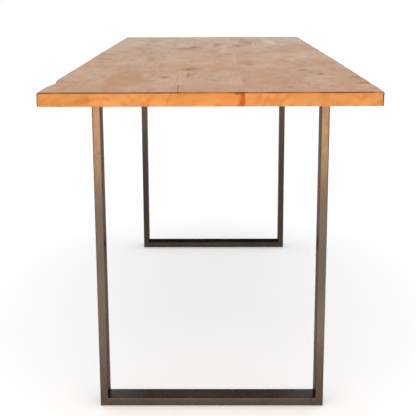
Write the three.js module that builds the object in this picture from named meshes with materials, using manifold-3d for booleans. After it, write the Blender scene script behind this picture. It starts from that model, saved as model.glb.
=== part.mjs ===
// A bar-height table. The top is a natural-edge slab, glued up from three wide boards with loose
// tenons in the joints. It is bolted through slotted plates to two welded frames of flat steel tube.
// Millimetres, +Z up. The origin is on the floor below the middle of the top. +X runs across the
// table and +Y along it, so that the near end is at -Y and the far end at +Y.
import * as THREE from "three";
import { mergeVertices } from "three/addons/utils/BufferGeometryUtils.js";
import Module from "manifold-3d";

const wasm = await Module();
wasm.setup();

// ---- Driving dimensions ----------------------------------------------------------------------

const TABLE_HEIGHT = 1041;

// The slab. A board's width is its widest place, out to the natural edge.
const TOP_LENGTH = 2640;
const TOP_THICKNESS = 38;
const LEFT_BOARD_WIDTH = 279.5;
const MIDDLE_BOARD_WIDTH = 275;
const RIGHT_BOARD_WIDTH = 368.5;
const EDGE_STATIONS = 66; // steps along a natural edge

// Loose tenons in the two glue joints.
const TENON_COUNT = 6; // in each joint
const TENON_LENGTH = 50; // across the joint
const TENON_WIDTH = 24;
const TENON_THICKNESS = 10;
const TENON_END_MARGIN = 190; // from the slab's end to the middle of the first tenon
const MORTISE_CLEARANCE = 0.3; // on every side of a tenon

// The two frames.
const FRAME_WIDTH = 711;
const FRAME_INSET = 330; // from the slab's end to the frame's outer face
const TUBE_FACE = 25.4; // the narrow side, seen from the table's end
const TUBE_DEPTH = 76.2; // the wide side, along the table
const TUBE_WALL = 3;
const TUBE_CORNER = 4; // outside corner radius
const WELD_GAP = 0.3; // fit-up gap across a mitre
const PLATE_THICKNESS = 6;

// The bolts that hold a frame to the slab: M8 into threaded inserts.
const BOLT_COUNT = 5; // in each frame
const BOLT_MARGIN = 95.5; // from the frame's side to the middle of the outermost bolt
const BOLT_RADIUS = 4;
const BOLT_LENGTH = 30; // under the head
const HEAD_ACROSS_FLATS = 13;
const HEAD_HEIGHT = 5.3;
const WASHER_RADIUS = 12;
const WASHER_THICKNESS = 2;
const SLOT_WIDTH = 9;
const SLOT_LENGTH = 20; // along X, so that the slab can move across its grain
const INSERT_RADIUS = 6; // at the root of the wood thread
const INSERT_THREAD_HEIGHT = 1;
const INSERT_THREAD_PITCH = 5;
const INSERT_LENGTH = 20;
const INSERT_CLEARANCE = 0.2; // round the thread, in its pocket
const BOLT_CLEARANCE = 0.1; // round the bolt, in a washer or an insert
const TIP_ROOM = 3; // past the bolt's tip, in the pocket

// The glides under each floor rail.
const GLIDE_RADIUS = 19;
const GLIDE_THICKNESS = 2;
const GLIDE_MARGIN = 42; // from the frame's side to the glide's middle

const ROUND_STEPS = 16; // sides of a small round piece

// ---- Levels and lines worked out from them ---------------------------------------------------

const slabUnderside = TABLE_HEIGHT - TOP_THICKNESS;
const plateUnderside = slabUnderside - PLATE_THICKNESS;
const railUnderside = GLIDE_THICKNESS;
const topWidth = LEFT_BOARD_WIDTH + MIDDLE_BOARD_WIDTH + RIGHT_BOARD_WIDTH;
const leftEdge = -topWidth / 2;
const rightEdge = topWidth / 2;
const leftJoint = leftEdge + LEFT_BOARD_WIDTH;
const rightJoint = rightEdge - RIGHT_BOARD_WIDTH;
const nearEnd = -TOP_LENGTH / 2;
const farEnd = TOP_LENGTH / 2;
const frameMiddleFromEnd = FRAME_INSET + TUBE_DEPTH / 2;
const frames = [
  { name: "near", y: nearEnd + frameMiddleFromEnd },
  { name: "far", y: farEnd - frameMiddleFromEnd },
];

// `count` places, `pitch` apart, centred on zero.
const spread = (count, pitch) =>
  Array.from({ length: count }, (_, i) => (i - (count - 1) / 2) * pitch);

const boltPitch = (FRAME_WIDTH - 2 * BOLT_MARGIN) / (BOLT_COUNT - 1);
const boltPlaces = spread(BOLT_COUNT, boltPitch);
const tenonPitch = (TOP_LENGTH - 2 * TENON_END_MARGIN) / (TENON_COUNT - 1);
const tenonPlaces = spread(TENON_COUNT, tenonPitch);

// ---- Solids ----------------------------------------------------------------------------------

// A closed three.js geometry as a manifold-3d solid.
function toSolid(geometry) {
  const bare = geometry.clone();
  bare.deleteAttribute("normal");
  bare.deleteAttribute("uv");
  const merged = mergeVertices(bare, 1e-4);
  return new wasm.Manifold(
    new wasm.Mesh({
      numProp: 3,
      vertProperties: merged.attributes.position.array,
      triVerts: new Uint32Array(merged.index.array),
    }),
  );
}

// A manifold-3d solid as a three.js geometry, with flat shading.
function toGeometry(solid) {
  const mesh = solid.getMesh();
  const points = new Float32Array(mesh.numVert * 3);
  for (let i = 0; i < mesh.numVert; i++) {
    const start = i * mesh.numProp;
    points.set(mesh.vertProperties.subarray(start, start + 3), i * 3);
  }
  const indexed = new THREE.BufferGeometry()
    .setAttribute("position", new THREE.BufferAttribute(points, 3))
    .setIndex(new THREE.BufferAttribute(mesh.triVerts, 1));
  const flat = indexed.toNonIndexed();
  flat.computeVertexNormals();
  return flat;
}

// `geometry` with every one of `cutters` taken out of it.
function cut(geometry, cutters) {
  let solid = toSolid(geometry);
  for (const cutter of cutters) solid = solid.subtract(toSolid(cutter));
  return toGeometry(solid);
}

// A shape in X and Z, pushed along Y to `depth`, centred on Y = 0.
function prismAlongY(points, depth) {
  const outline = new THREE.Shape(points.map(([x, z]) => new THREE.Vector2(x, -z)));
  return new THREE.ExtrudeGeometry(outline, { depth, bevelEnabled: false })
    .translate(0, 0, -depth / 2)
    .rotateX(-Math.PI / 2);
}

// A rectangle with round corners, centred on the origin.
function roundedRectangle(width, height, radius) {
  const x = width / 2 - radius;
  const y = height / 2 - radius;
  const outline = new THREE.Shape();
  outline.moveTo(x, -y - radius);
  outline.absarc(x, -y, radius, -Math.PI / 2, 0);
  outline.absarc(x, y, radius, 0, Math.PI / 2);
  outline.absarc(-x, y, radius, Math.PI / 2, Math.PI);
  outline.absarc(-x, -y, radius, Math.PI, 1.5 * Math.PI);
  return outline;
}

// An upright cylinder from z = 0 to `height`.
const post = (radius, height, sides = ROUND_STEPS) =>
  new THREE.CylinderGeometry(radius, radius, height, sides)
    .rotateX(Math.PI / 2)
    .translate(0, 0, height / 2);

// ---- The group and its finishes --------------------------------------------------------------

const table = new THREE.Group();

const finish = (color, roughness, metalness) =>
  new THREE.MeshStandardMaterial({ color, roughness, metalness });
const finishes = {
  slab: finish(0xd99a5b, 0.45, 0),
  tenon: finish(0xd8b98c, 0.7, 0),
  frame: finish(0x6b5c4c, 0.38, 1),
  zinc: finish(0xb9bcc0, 0.35, 1),
  brass: finish(0xb8923f, 0.4, 1),
  glide: finish(0x2b2a29, 0.8, 0),
};

function add(parent, name, geometry, material, x = 0, y = 0, z = 0) {
  const mesh = new THREE.Mesh(geometry, material);
  mesh.name = name;
  mesh.position.set(x, y, z);
  parent.add(mesh);
}

// ---- The slab --------------------------------------------------------------------------------

// How far a natural edge lies inside its board's full width, at `y` from the near end. A hollow is
// {at, half, depth}: its middle, its half width and its depth.
const hollow = ({ at, half, depth }, y) => depth * Math.exp(-(((y - at) / half) ** 2));
const wave = (height, length, phase, y) =>
  height * Math.sin((2 * Math.PI * y) / length + phase);
const edges = {
  left: {
    hollows: [
      { at: 0, half: 170, depth: 2.5 },
      { at: 245, half: 62, depth: 11 },
      { at: 600, half: 420, depth: 1.8 },
      { at: 2600, half: 450, depth: 1.8 },
    ],
    waves: (y) => wave(0.5, 760, 0.4, y) + wave(0.4, 230, 2, y),
  },
  right: {
    hollows: [
      { at: 0, half: 120, depth: 1.5 },
      { at: 215, half: 60, depth: 2 },
      { at: 800, half: 140, depth: 1.5 },
      { at: 1480, half: 260, depth: 2.5 },
      { at: 2700, half: 1200, depth: 14.5 },
    ],
    waves: (y) => wave(0.4, 640, 2.2, y) + wave(0.3, 190, 0.7, y),
  },
};

// A board's side is a list of [x, y] points from the near end to the far end. This one is the
// straight side at a joint.
const straight = (x) => [
  [x, nearEnd],
  [x, farEnd],
];

// A natural edge with its widest place at `x`. `inward` is 1 on the left and -1 on the right.
function natural(x, inward, { hollows, waves }) {
  const places = [];
  for (let i = 0; i <= EDGE_STATIONS; i++) places.push((TOP_LENGTH * i) / EDGE_STATIONS);
  const insets = places.map((y) => hollows.reduce((sum, h) => sum + hollow(h, y), waves(y)));
  const least = Math.min(...insets);
  return places.map((y, i) => [x + inward * (insets[i] - least), nearEnd + y]);
}

// The pockets for the inserts, and the mortises for the tenons of one joint.
const boltReach = BOLT_LENGTH - WASHER_THICKNESS - PLATE_THICKNESS;
const pocketDepth = Math.max(boltReach, INSERT_LENGTH) + TIP_ROOM;
const pocketRadius = INSERT_RADIUS + INSERT_THREAD_HEIGHT + INSERT_CLEARANCE;
const pockets = frames.flatMap(({ y }) =>
  boltPlaces.map((x) => ({
    x,
    solid: post(pocketRadius, pocketDepth + TOP_THICKNESS).translate(
      x,
      y,
      slabUnderside - TOP_THICKNESS,
    ),
  })),
);

// A tenon lying across a joint, grown by `clearance` on every side.
function tenonGeometry(clearance) {
  const length = TENON_LENGTH + 2 * clearance;
  const thickness = TENON_THICKNESS + 2 * clearance;
  const outline = roundedRectangle(
    thickness,
    TENON_WIDTH + 2 * clearance,
    thickness / 2 - 0.01,
  );
  return new THREE.ExtrudeGeometry(outline, {
    depth: length,
    bevelEnabled: false,
    curveSegments: 3,
  })
    .translate(0, 0, -length / 2)
    .rotateY(Math.PI / 2);
}

const tenonLevel = slabUnderside + TOP_THICKNESS / 2;
const mortises = (joint) =>
  tenonPlaces.map((y) =>
    tenonGeometry(MORTISE_CLEARANCE).translate(joint, y, tenonLevel),
  );

// A board between its two sides, cut by the mortises of its joints and by the pockets it reaches.
function board(name, leftSide, rightSide, joints) {
  const points = [...rightSide, ...leftSide.toReversed()];
  const outline = new THREE.Shape(points.map(([x, y]) => new THREE.Vector2(x, y)));
  const blank = new THREE.ExtrudeGeometry(outline, {
    depth: TOP_THICKNESS,
    bevelEnabled: false,
  }).translate(0, 0, slabUnderside);
  const low = Math.min(...points.map(([x]) => x));
  const high = Math.max(...points.map(([x]) => x));
  const reached = pockets.filter(
    ({ x }) => x + pocketRadius > low && x - pocketRadius < high,
  );
  const cutters = [...joints.flatMap(mortises), ...reached.map((p) => p.solid)];
  add(table, name, cut(blank, cutters), finishes.slab);
}

board("board_left", natural(leftEdge, 1, edges.left), straight(leftJoint), [leftJoint]);
board("board_middle", straight(leftJoint), straight(rightJoint), [leftJoint, rightJoint]);
board("board_right", straight(rightJoint), natural(rightEdge, -1, edges.right), [rightJoint]);

const joints = { left: leftJoint, right: rightJoint };
for (const [side, x] of Object.entries(joints)) {
  tenonPlaces.forEach((y, i) => {
    add(table, `tenon_${side}_${i + 1}`, tenonGeometry(0), finishes.tenon, x, y, tenonLevel);
  });
}

// ---- A frame ---------------------------------------------------------------------------------

// A length of flat tube, its narrow side along X and its wide side along Y, from z = 0 up.
function tube(length) {
  const outline = roundedRectangle(TUBE_FACE, TUBE_DEPTH, TUBE_CORNER);
  outline.holes.push(
    roundedRectangle(
      TUBE_FACE - 2 * TUBE_WALL,
      TUBE_DEPTH - 2 * TUBE_WALL,
      Math.max(TUBE_CORNER - TUBE_WALL, 0.5),
    ),
  );
  return new THREE.ExtrudeGeometry(outline, {
    depth: length,
    bevelEnabled: false,
    curveSegments: 4,
  });
}

const trimmed = (geometry, keeper) =>
  toGeometry(toSolid(geometry).intersect(toSolid(keeper)));

const halfFrame = FRAME_WIDTH / 2;
const uprightHeight = plateUnderside - railUnderside;
const spare = TUBE_FACE; // how far a cut runs past the tube
const mitreShift = (WELD_GAP / 2) * Math.SQRT2;
const keeperDepth = TUBE_DEPTH + 2 * spare;

// The floor rail lies along X, with both ends mitred.
function floorRail() {
  const blank = tube(FRAME_WIDTH)
    .translate(0, 0, -halfFrame)
    .rotateY(Math.PI / 2)
    .translate(0, 0, TUBE_FACE / 2);
  const atFloor = halfFrame - mitreShift + spare;
  const atInside = halfFrame - mitreShift - TUBE_FACE - spare;
  const keeper = prismAlongY(
    [
      [-atFloor, -spare],
      [atFloor, -spare],
      [atInside, TUBE_FACE + spare],
      [-atInside, TUBE_FACE + spare],
    ],
    keeperDepth,
  );
  return trimmed(blank, keeper);
}

// An upright stands on its mitre. `side` is -1 for the left one and 1 for the right one.
function upright(side) {
  const outer = side * (halfFrame + spare);
  const inner = side * (halfFrame - TUBE_FACE - spare);
  const blank = tube(uprightHeight).translate(side * (halfFrame - TUBE_FACE / 2), 0, 0);
  const corners = [
    [outer, mitreShift - spare],
    [inner, mitreShift + TUBE_FACE + spare],
    [inner, uprightHeight + spare],
    [outer, uprightHeight + spare],
  ];
  const keeper = prismAlongY(side < 0 ? corners : corners.reverse(), keeperDepth);
  return trimmed(blank, keeper);
}

// The flat bar across the top of the uprights, slotted for the bolts.
function topPlate() {
  const bar = new THREE.BoxGeometry(FRAME_WIDTH, TUBE_DEPTH, PLATE_THICKNESS);
  const slot = roundedRectangle(SLOT_LENGTH, SLOT_WIDTH, SLOT_WIDTH / 2 - 0.01);
  const slots = boltPlaces.map((x) =>
    new THREE.ExtrudeGeometry(slot, {
      depth: 3 * PLATE_THICKNESS,
      bevelEnabled: false,
      curveSegments: 4,
    }).translate(x, 0, -1.5 * PLATE_THICKNESS),
  );
  return cut(bar, slots);
}

// A hexagon-head bolt pointing up. The underside of its head is at z = 0.
function bolt() {
  const headRadius = HEAD_ACROSS_FLATS / 2 / Math.cos(Math.PI / 6);
  const head = post(headRadius, HEAD_HEIGHT, 6).translate(0, 0, -HEAD_HEIGHT);
  const shank = post(BOLT_RADIUS, BOLT_LENGTH + 1).translate(0, 0, -1);
  return toGeometry(toSolid(head).add(toSolid(shank)));
}

// A ring turned from a closed profile of [radius, height] points.
const turned = (profile) =>
  new THREE.LatheGeometry(
    [...profile, profile[0]].map(([r, z]) => new THREE.Vector2(r, z)),
    ROUND_STEPS,
  ).rotateX(Math.PI / 2);

const holeRadius = BOLT_RADIUS + BOLT_CLEARANCE;

const washer = () =>
  turned([
    [holeRadius, 0],
    [WASHER_RADIUS, 0],
    [WASHER_RADIUS, WASHER_THICKNESS],
    [holeRadius, WASHER_THICKNESS],
  ]);

// A threaded insert: a bored plug with coarse ridges that bite into the wood.
function insert() {
  const ridges = [];
  const turns = Math.floor(INSERT_LENGTH / INSERT_THREAD_PITCH);
  for (let i = 0; i < turns; i++) {
    const z = i * INSERT_THREAD_PITCH;
    const crest = INSERT_RADIUS + INSERT_THREAD_HEIGHT;
    ridges.push([INSERT_RADIUS, z], [crest, z + INSERT_THREAD_PITCH / 2]);
  }
  return turned([
    [holeRadius, 0],
    ...ridges,
    [INSERT_RADIUS, INSERT_LENGTH],
    [holeRadius, INSERT_LENGTH],
  ]);
}

const plateMiddle = plateUnderside + PLATE_THICKNESS / 2;
const headLevel = plateUnderside - WASHER_THICKNESS;
const glidePlace = halfFrame - GLIDE_MARGIN;

for (const { name, y } of frames) {
  const frame = new THREE.Group();
  frame.position.y = y;
  table.add(frame);
  const put = (piece, geometry, material, x, z) =>
    add(frame, `${name}_${piece}`, geometry, material, x, 0, z);

  put("floor_rail", floorRail(), finishes.frame, 0, railUnderside);
  put("left_upright", upright(-1), finishes.frame, 0, railUnderside);
  put("right_upright", upright(1), finishes.frame, 0, railUnderside);
  put("top_plate", topPlate(), finishes.frame, 0, plateMiddle);
  put("left_glide", post(GLIDE_RADIUS, GLIDE_THICKNESS), finishes.glide, -glidePlace, 0);
  put("right_glide", post(GLIDE_RADIUS, GLIDE_THICKNESS), finishes.glide, glidePlace, 0);
  boltPlaces.forEach((x, i) => {
    put(`bolt_${i + 1}`, bolt(), finishes.zinc, x, headLevel);
    put(`washer_${i + 1}`, washer(), finishes.zinc, x, headLevel);
    put(`insert_${i + 1}`, insert(), finishes.brass, x, slabUnderside);
  });
}

export default table;
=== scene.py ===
# A bar-height table: a natural-edge slab, glued up from three boards, on two welded frames of flat
# steel tube. Lengths are in metres, and the sizes and places of the pieces come from the packed
# model. +X runs across the table, +Y along it from the near end to the far end, and +Z is up.
import math
from collections import namedtuple

import bmesh
import bpy
from mathutils import Matrix, Vector, noise


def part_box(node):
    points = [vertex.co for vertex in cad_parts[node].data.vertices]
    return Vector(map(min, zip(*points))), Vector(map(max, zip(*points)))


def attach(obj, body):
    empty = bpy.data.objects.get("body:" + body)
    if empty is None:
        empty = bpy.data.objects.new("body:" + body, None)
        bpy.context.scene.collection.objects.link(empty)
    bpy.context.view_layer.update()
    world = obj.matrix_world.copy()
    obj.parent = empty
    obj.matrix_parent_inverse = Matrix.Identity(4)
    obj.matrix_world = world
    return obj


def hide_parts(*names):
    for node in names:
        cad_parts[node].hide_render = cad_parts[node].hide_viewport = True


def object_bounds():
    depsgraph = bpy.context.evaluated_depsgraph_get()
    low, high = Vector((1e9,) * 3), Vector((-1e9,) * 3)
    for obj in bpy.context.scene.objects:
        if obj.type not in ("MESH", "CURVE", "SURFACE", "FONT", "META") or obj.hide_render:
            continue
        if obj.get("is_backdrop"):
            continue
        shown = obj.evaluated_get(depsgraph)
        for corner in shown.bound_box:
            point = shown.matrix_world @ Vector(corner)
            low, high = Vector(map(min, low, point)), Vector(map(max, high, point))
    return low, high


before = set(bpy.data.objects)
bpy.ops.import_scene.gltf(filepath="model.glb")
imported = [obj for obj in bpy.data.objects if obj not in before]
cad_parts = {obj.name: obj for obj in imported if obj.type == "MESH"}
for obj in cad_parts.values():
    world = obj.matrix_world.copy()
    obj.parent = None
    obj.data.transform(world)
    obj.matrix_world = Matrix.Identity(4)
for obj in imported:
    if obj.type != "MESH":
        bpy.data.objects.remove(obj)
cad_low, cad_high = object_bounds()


# ---- The left board --------------------------------------------------------------------------
# The board on the left of the slab, of a pale orange hardwood under satin lacquer. Its outer side is
# the tree's own edge, peeled and sanded round at the top. The other side is planed for the glue.

board_low, board_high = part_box("board_left")
SLAB_BOTTOM = board_low.z
SLAB_TOP = board_high.z
NEAR_END = board_low.y
FAR_END = board_high.y
LEFT_JOINT = board_high.x

END_EASE = 0.0014
EASE_STEPS = 3
STATION_STEP = 0.008
COLUMN_STEP = 0.03
SAME_LEVEL = 0.0001

# The natural edge: how its rounding swells and narrows, its steps from the bottom to the top, and how
# deep the bark's hollows and the sanding marks go.
SWAY_RATE = 3.1
WIDTH_SWAY = 0.35
HEIGHT_SWAY = 0.25
FOOT_STEPS = 3
SIDE_STEPS = 4
ROUND_STEPS = 7
BARK_HOLLOW = 0.0012
SANDING_MARK = 0.0003


def edge_line(node, side):
    """A natural edge as (y, x) places from end to end. side is -1 on the left and 1 on the right."""
    furthest = {}
    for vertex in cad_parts[node].data.vertices:
        if vertex.co.z > SLAB_TOP - SAME_LEVEL:
            y = round(vertex.co.y, 4)
            furthest[y] = max(furthest.get(y, -1), side * vertex.co.x)
    return [(y, side * x) for y, x in sorted(furthest.items())]


def along_edge(line, y):
    """The edge's x at y, on a smooth curve through its places."""
    step = (line[-1][0] - line[0][0]) / (len(line) - 1)
    place = min(max((y - line[0][0]) / step, 0), len(line) - 1.001)
    i = int(place)
    t = place - i
    before, here, after, beyond = [line[min(max(k, 0), len(line) - 1)][1] for k in (i - 1, i, i + 1, i + 2)]
    bend = 2 * before - 5 * here + 4 * after - beyond
    twist = 3 * (here - after) + beyond - before
    return here + 0.5 * t * ((after - before) + t * (bend + t * twist))


def quarter_turn(steps):
    """The angles from nothing to a right angle in even steps."""
    return [math.radians(90) * i / steps for i in range(steps + 1)]


def natural_side(node, side, round_width, round_height, foot, seed):
    """A side that follows the tree. It gives its points at y, from the bottom to the top. The top is
    rounded over by round_width and round_height, and the lower edge by foot."""
    line = edge_line(node, side)
    middle = (SLAB_TOP + SLAB_BOTTOM) / 2

    def points(y, ease):
        x = along_edge(line, y)
        sway = noise.noise(Vector((seed, y * SWAY_RATE, 0)))
        width = round_width * (1 + WIDTH_SWAY * sway)
        height = round_height * (1 + HEIGHT_SWAY * sway)
        rise = SLAB_TOP - height - SLAB_BOTTOM - foot
        corners = [
            (foot * (1 - math.sin(turn)), SLAB_BOTTOM + foot * (1 - math.cos(turn)))
            for turn in quarter_turn(FOOT_STEPS)
        ]
        corners += [(0, SLAB_BOTTOM + foot + rise * i / SIDE_STEPS) for i in range(1, SIDE_STEPS)]
        corners += [
            (width * (1 - math.cos(turn)), SLAB_TOP - height * (1 - math.sin(turn)))
            for turn in quarter_turn(ROUND_STEPS)
        ]
        shrink = 1 - ease / (SLAB_TOP - middle)
        side_points = []
        for inward, z in corners:
            bark = noise.noise(Vector((seed + z * 55, y * 14, z * 90)))
            fine = noise.noise(Vector((seed, y * 75, z * 120)))
            worn = max(0, 0.5 + bark) * BARK_HOLLOW + max(0, fine) * SANDING_MARK
            free = 1 if SLAB_BOTTOM < z < SLAB_TOP - SAME_LEVEL else 0
            reach = inward + ease + worn * free
            side_points.append((x - side * reach, middle + (z - middle) * shrink))
        return side_points

    return points


def planed_side(x):
    """A straight side, planed for the glue."""
    return lambda y, ease: [(x, SLAB_BOTTOM + ease), (x, SLAB_TOP - ease)]


def board_stations():
    """(y, ease) along a board: close together where its ends are eased, then at even steps."""
    eased = [
        (END_EASE * (1 - math.cos(turn)), END_EASE * (1 - math.sin(turn)))
        for turn in quarter_turn(EASE_STEPS)
    ]
    length = FAR_END - NEAR_END - 2 * END_EASE
    steps = round(length / STATION_STEP)
    even = [(NEAR_END + END_EASE + length / steps * i, 0) for i in range(1, steps)]
    near = [(NEAR_END + y, ease) for y, ease in eased]
    far = [(FAR_END - y, ease) for y, ease in reversed(eased)]
    return near + even + far


def between(start, stop, count):
    """The places that part the line from start to stop into count lengths."""
    return [
        (start[0] + (stop[0] - start[0]) * i / count, start[1] + (stop[1] - start[1]) * i / count)
        for i in range(1, count)
    ]


def piece_from(mesh, name):
    """A new object that holds the bmesh."""
    data = bpy.data.meshes.new(name)
    mesh.to_mesh(data)
    mesh.free()
    piece = bpy.data.objects.new(name, data)
    bpy.context.scene.collection.objects.link(piece)
    return piece


def join_rings(mesh, one, two):
    """Faces from one ring of points to the next, which has as many."""
    for i in range(len(one)):
        j = (i + 1) % len(one)
        mesh.faces.new((one[i], one[j], two[j], two[i]))


def skinned(name, rings):
    """A closed piece from rings of points, one after the other along it."""
    mesh = bmesh.new()
    rings = [[mesh.verts.new(point) for point in ring] for ring in rings]
    for one, two in zip(rings, rings[1:]):
        join_rings(mesh, one, two)
    mesh.faces.new(rings[0])
    mesh.faces.new(rings[-1])
    bmesh.ops.recalc_face_normals(mesh, faces=mesh.faces)
    return piece_from(mesh, name)


def blank_board(name, left, right):
    """A board between two sides, as one closed mesh."""
    width = right(NEAR_END, 0)[-1][0] - left(NEAR_END, 0)[-1][0]
    columns = round(width / COLUMN_STEP)
    rings = []
    for y, ease in board_stations():
        right_points = right(y, ease)
        left_points = left(y, ease)
        top_row = between(right_points[-1], left_points[-1], columns)
        low_row = between(left_points[0], right_points[0], columns)
        outline = right_points + top_row + left_points[::-1] + low_row
        rings.append([(x, y, z) for x, z in outline])
    return skinned(name, rings)


def apply_modifiers(piece):
    """Turns the piece's modifiers into its mesh."""
    bpy.context.view_layer.update()
    graph = bpy.context.evaluated_depsgraph_get()
    made = bpy.data.meshes.new_from_object(piece.evaluated_get(graph))
    piece.modifiers.clear()
    piece.data = made


def carve(piece, cutters):
    """Takes the closed pieces in cutters out of the piece, one after the other, and deletes them."""
    for cutter in cutters:
        cutting = piece.modifiers.new("carve", "BOOLEAN")
        cutting.operation = "DIFFERENCE"
        cutting.solver = "MANIFOLD"
        cutting.object = cutter
    apply_modifiers(piece)
    piece.data.materials.clear()
    for cutter in cutters:
        bpy.data.objects.remove(cutter)


LEVEL_FACE = 0.99999


def dress(piece, material, sharpest=35):
    """Gives a piece its material and smooth shading, with an edge kept where its faces turn more than
    `sharpest` degrees."""
    piece.data.materials.append(material)
    piece.data.shade_smooth()
    piece.data.set_sharp_from_angle(angle=math.radians(sharpest))
    for face in piece.data.polygons:
        if abs(face.normal.z) > LEVEL_FACE:
            face.use_smooth = False
    level = piece.modifiers.new("level", "WEIGHTED_NORMAL")
    level.keep_sharp = True


MORTISE_CLEARANCE = 0.0003
POCKET_CLEARANCE = 0.0002
POCKET_ROOM = 0.005
ROUND_SIDES = 32
SAME_POINT = 1e-6
PAST_THE_JOINT = 0.002


def grown(node, clearance):
    """A closed copy of a CAD node, larger by the clearance all round."""
    low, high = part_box(node)
    centre = (low + high) / 2
    mesh = bmesh.new()
    mesh.from_mesh(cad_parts[node].data)
    bmesh.ops.remove_doubles(mesh, verts=mesh.verts, dist=SAME_POINT)
    for vertex in mesh.verts:
        for axis in range(3):
            half = high[axis] - centre[axis]
            away = vertex.co[axis] - centre[axis]
            vertex.co[axis] += clearance * away / half
    return piece_from(mesh, node + "_mortise")


def pocket(node):
    """The blind hole for a threaded insert, open at the slab's underside."""
    low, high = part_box(node)
    centre = (low + high) / 2
    radius = (high.x - low.x) / 2 + POCKET_CLEARANCE
    depth = high.z - low.z + 2 * POCKET_ROOM
    mesh = bmesh.new()
    bmesh.ops.create_cone(
        mesh, cap_ends=True, segments=ROUND_SIDES, radius1=radius, radius2=radius, depth=depth
    )
    bmesh.ops.translate(mesh, vec=(centre.x, centre.y, centre.z), verts=mesh.verts)
    return piece_from(mesh, node + "_pocket")


def joinery(low_x, high_x):
    """The mortises and pockets that a board between two places across the slab is cut by."""
    cutters = []
    for node in sorted(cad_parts):
        low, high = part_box(node)
        if high.x + PAST_THE_JOINT < low_x or low.x - PAST_THE_JOINT > high_x:
            continue
        if node.startswith("tenon_"):
            cutters.append(grown(node, MORTISE_CLEARANCE))
        elif "_insert_" in node:
            cutters.append(pocket(node))
    return cutters


# A drying check's depth at its middle, its width and wavering as parts of the mark's, how much of each
# is left at its tips, and how far its cutter stands out of the slab.
CHECK_DEPTH = 0.005
CHECK_STEPS = 12
CHECK_WIDTH = 1.2
CHECK_WAVER = 0.8
TIP_WIDTH = 0.06
TIP_DEPTH = 0.1
CUTTER_PROUD = 0.001
PIT_ROUGHNESS = 0.22

Mark = namedtuple("Mark", "x y half_width half_length lean slant")


def mark(x, y, half_width, half_length, lean=0, slant=0):
    """A place in the wood that runs down through the board, oval from above. x is measured across
    the slab from its middle and y along it from the near end. lean turns it about the upright, and
    slant tips it over across the slab, both in degrees."""
    return Mark(x, NEAR_END + y, half_width, half_length, lean, slant)


def check_cutter(oval):
    """A drying check: a long, narrow, pointed groove."""
    turn = math.radians(oval.lean)
    rings = []
    for i in range(CHECK_STEPS + 1):
        t = -1 + 2 * i / CHECK_STEPS
        width = oval.half_width * max(TIP_WIDTH, 1 - t * t) * CHECK_WIDTH
        depth = CHECK_DEPTH * max(TIP_DEPTH, 1 - t * t)
        waver = oval.half_width * CHECK_WAVER * math.sin(4 * t + oval.x * 90)
        away = oval.half_length * t
        x = oval.x + waver * math.cos(turn) - away * math.sin(turn)
        y = oval.y + away * math.cos(turn)
        top = SLAB_TOP + CUTTER_PROUD
        rings.append([(x - width, y, top), (x + width, y, top), (x, y, SLAB_TOP - depth)])
    return skinned("check", rings)


def pit_cutter(oval, depth):
    """A shallow hollow where a knot has dried back, rough round its rim."""
    mesh = bmesh.new()
    bmesh.ops.create_icosphere(mesh, subdivisions=3, radius=1)
    for vertex in mesh.verts:
        spot = vertex.co * 2.2 + Vector((oval.x * 50, oval.y * 50, 0))
        vertex.co *= 1 + PIT_ROUGHNESS * noise.noise(spot)
    bmesh.ops.scale(mesh, verts=mesh.verts, vec=(oval.half_width, oval.half_length, depth))
    bmesh.ops.rotate(mesh, verts=mesh.verts, matrix=Matrix.Rotation(math.radians(oval.lean), 3, "Z"))
    bmesh.ops.translate(mesh, verts=mesh.verts, vec=(oval.x, oval.y, SLAB_TOP))
    return piece_from(mesh, "pit")


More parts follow.
